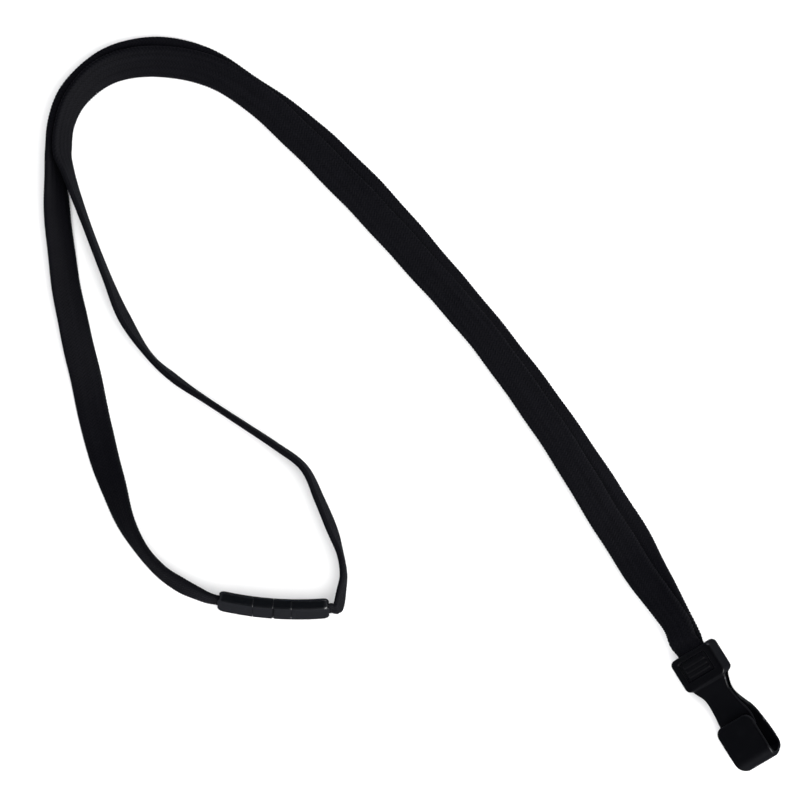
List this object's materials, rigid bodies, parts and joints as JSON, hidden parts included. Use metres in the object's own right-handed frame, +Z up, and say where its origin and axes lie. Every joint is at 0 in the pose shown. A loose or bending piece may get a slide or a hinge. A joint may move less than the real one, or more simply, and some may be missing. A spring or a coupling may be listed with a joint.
{
  "type": "neck lanyard",
  "caption": "Flat braided neck lanyard with a breakaway safety clasp and a moulded no-twist hook with a sprung gate, laid out in a loop on a flat surface.",
  "frame": {"origin": "middle of the hook and the clasp taken together, on the surface that the lanyard lies on", "axes": "+Z up from that surface, +Y from the hook along its straps towards the bend of the loop, +X to the right seen from above"},
  "size_m": [0.1326, 0.2813, 0.0137],
  "materials": {
    "braid": "dull black flat tubular braid of polyester, fine diagonal ribs",
    "hook_plastic": "black moulded acetal, fine satin texture with brighter rounded edges",
    "clasp_plastic": "black moulded plastic, smooth satin"
  },
  "bodies": {
    "lanyard": {"strap_socket_side": "braid", "strap_plug_side": "braid", "hook_frame": "hook_plastic", "collar_crimp_plate": "hook_plastic", "clasp_socket": "clasp_plastic", "clasp_socket_cover": "clasp_plastic"},
    "gate": {"gate_tongue": "hook_plastic"},
    "clasp_plug_half": {"clasp_plug": "clasp_plastic", "clasp_plug_cover": "clasp_plastic", "clasp_prongs": "clasp_plastic", "strap_plug_end": "braid"}
  },
  "joints": [
    {"name": "gate_flex", "type": "hinge", "parent": "lanyard", "child": "gate", "pos_m": [0.05195, -0.03985, 0.00823], "axis": [0.866, 0, 0.5], "range_deg": [0, 13], "stiffness_Nm_per_rad": 0.3},
    {"name": "clasp_release", "type": "slide", "parent": "lanyard", "child": "clasp_plug_half", "axis": [0.808, -0.5892, 0], "range_m": [0, 0.009], "deforming": ["strap_plug_end", "clasp_prongs"]}
  ]
}
